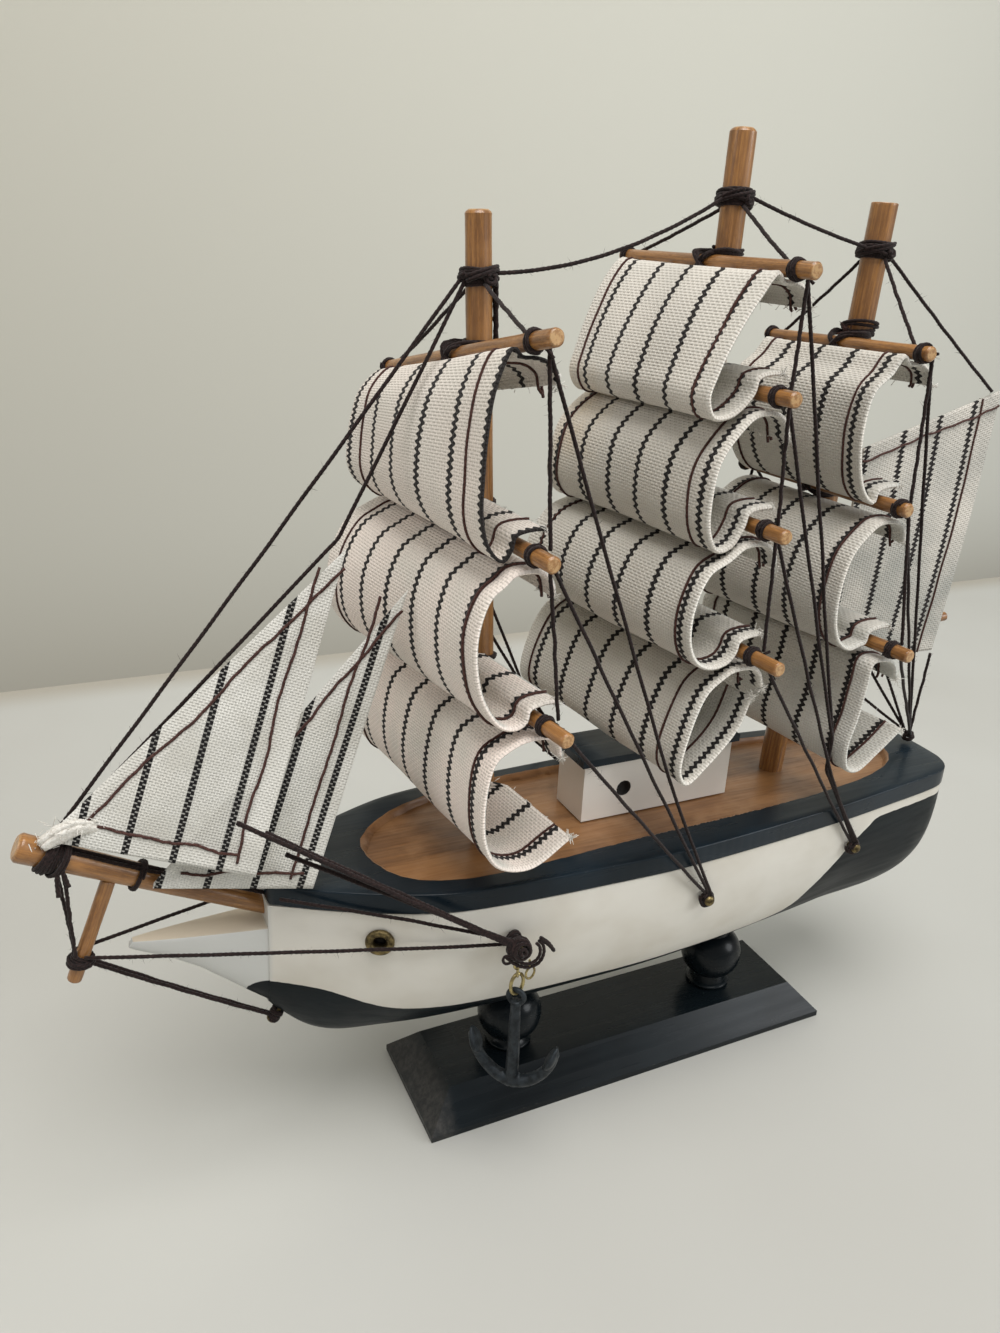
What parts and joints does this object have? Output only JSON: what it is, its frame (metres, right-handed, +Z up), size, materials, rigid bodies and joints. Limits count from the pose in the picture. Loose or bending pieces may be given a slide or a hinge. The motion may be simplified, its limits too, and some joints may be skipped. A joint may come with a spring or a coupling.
{
  "type": "model sailing ship",
  "caption": "Three-masted wooden model sailing ship with curved cloth square sails, jibs, thread rigging and hanging anchors, on a display stand.",
  "frame": {"origin": "centre of the stand's flat underside", "axes": "+X towards the stern, +Y to starboard, +Z up"},
  "size_m": [0.2425, 0.0831, 0.2265],
  "materials": {
    "navy_paint": "gloss brushed paint, worn to bare wood on a few edges",
    "white_paint": "satin brushed paint",
    "deck_wood": "varnished",
    "honey_wood": "thin satin varnish over straight grain",
    "canvas": "stiff plain-weave cotton with woven dark stripes",
    "gauze": "thin open plain weave with dark stripes",
    "thread": "twisted matt thread",
    "brass": "dull, browned",
    "dark_metal": "rough dark cast metal",
    "steel": "zinc plated"
  },
  "bodies": {
    "ship": {"stand_base": "navy_paint", "stand_post_fore": "navy_paint", "stand_post_aft": "navy_paint", "rail_board": "navy_paint", "deckhouse_roof": "navy_paint", "hull": "white_paint", "cutwater": "white_paint", "deckhouse_block": "white_paint", "deck_board": "deck_wood", "bowsprit": "honey_wood", "dolphin_striker": "honey_wood", "mast_fore": "honey_wood", "mast_main": "honey_wood", "mast_mizzen": "honey_wood", "boom": "honey_wood", "yard_fore_1": "honey_wood", "yard_fore_2": "honey_wood", "yard_fore_3": "honey_wood", "yard_main_1": "honey_wood", "yard_main_2": "honey_wood", "yard_main_3": "honey_wood", "yard_main_4": "honey_wood", "yard_mizzen_1": "honey_wood", "yard_mizzen_2": "honey_wood", "yard_mizzen_3": "honey_wood", "sail_fore_top": "canvas", "sail_fore_middle": "canvas", "sail_fore_lower": "canvas", "sail_main_top": "canvas", "sail_main_upper": "canvas", "sail_main_middle": "canvas", "sail_main_lower": "canvas", "sail_mizzen_top": "canvas", "sail_mizzen_middle": "canvas", "sail_mizzen_lower": "canvas", "spanker": "canvas", "jib_outer": "gauze", "jib_inner": "gauze", "rigging_mast_heads": "thread", "rigging_bow": "thread", "rigging_fore_port": "thread", "rigging_fore_starboard": "thread", "rigging_main_port": "thread", "rigging_main_starboard": "thread", "rigging_stern": "thread", "nail_bobstay": "brass", "nail_fore_port": "brass", "nail_fore_starboard": "brass", "nail_mid_port": "brass", "nail_mid_starboard": "brass", "nail_aft_port": "brass", "nail_aft_starboard": "brass", "hawse_eyelet_port": "brass", "hawse_eyelet_starboard": "brass", "stand_screw_fore": "steel", "stand_screw_aft": "steel"},
    "chain_port": {"anchor_chain_port": "brass"},
    "anchor_port": {"anchor_port": "dark_metal"},
    "chain_starboard": {"anchor_chain_starboard": "brass"},
    "anchor_starboard": {"anchor_starboard": "dark_metal"}
  },
  "joints": [
    {"name": "chain_swing_port", "type": "hinge", "parent": "ship", "child": "chain_port", "pos_m": [-0.0452, -0.0281, 0.0615], "axis": [0, 1, 0], "range_deg": [-35, 35]},
    {"name": "anchor_swing_port", "type": "hinge", "parent": "chain_port", "child": "anchor_port", "pos_m": [-0.0452, -0.0281, 0.04887], "axis": [0, 1, 0], "range_deg": [-30, 30]},
    {"name": "chain_swing_starboard", "type": "hinge", "parent": "ship", "child": "chain_starboard", "pos_m": [-0.0452, 0.0281, 0.0615], "axis": [0, 1, 0], "range_deg": [-35, 35]},
    {"name": "anchor_swing_starboard", "type": "hinge", "parent": "chain_starboard", "child": "anchor_starboard", "pos_m": [-0.0452, 0.0281, 0.04887], "axis": [0, 1, 0], "range_deg": [-30, 30]}
  ]
}
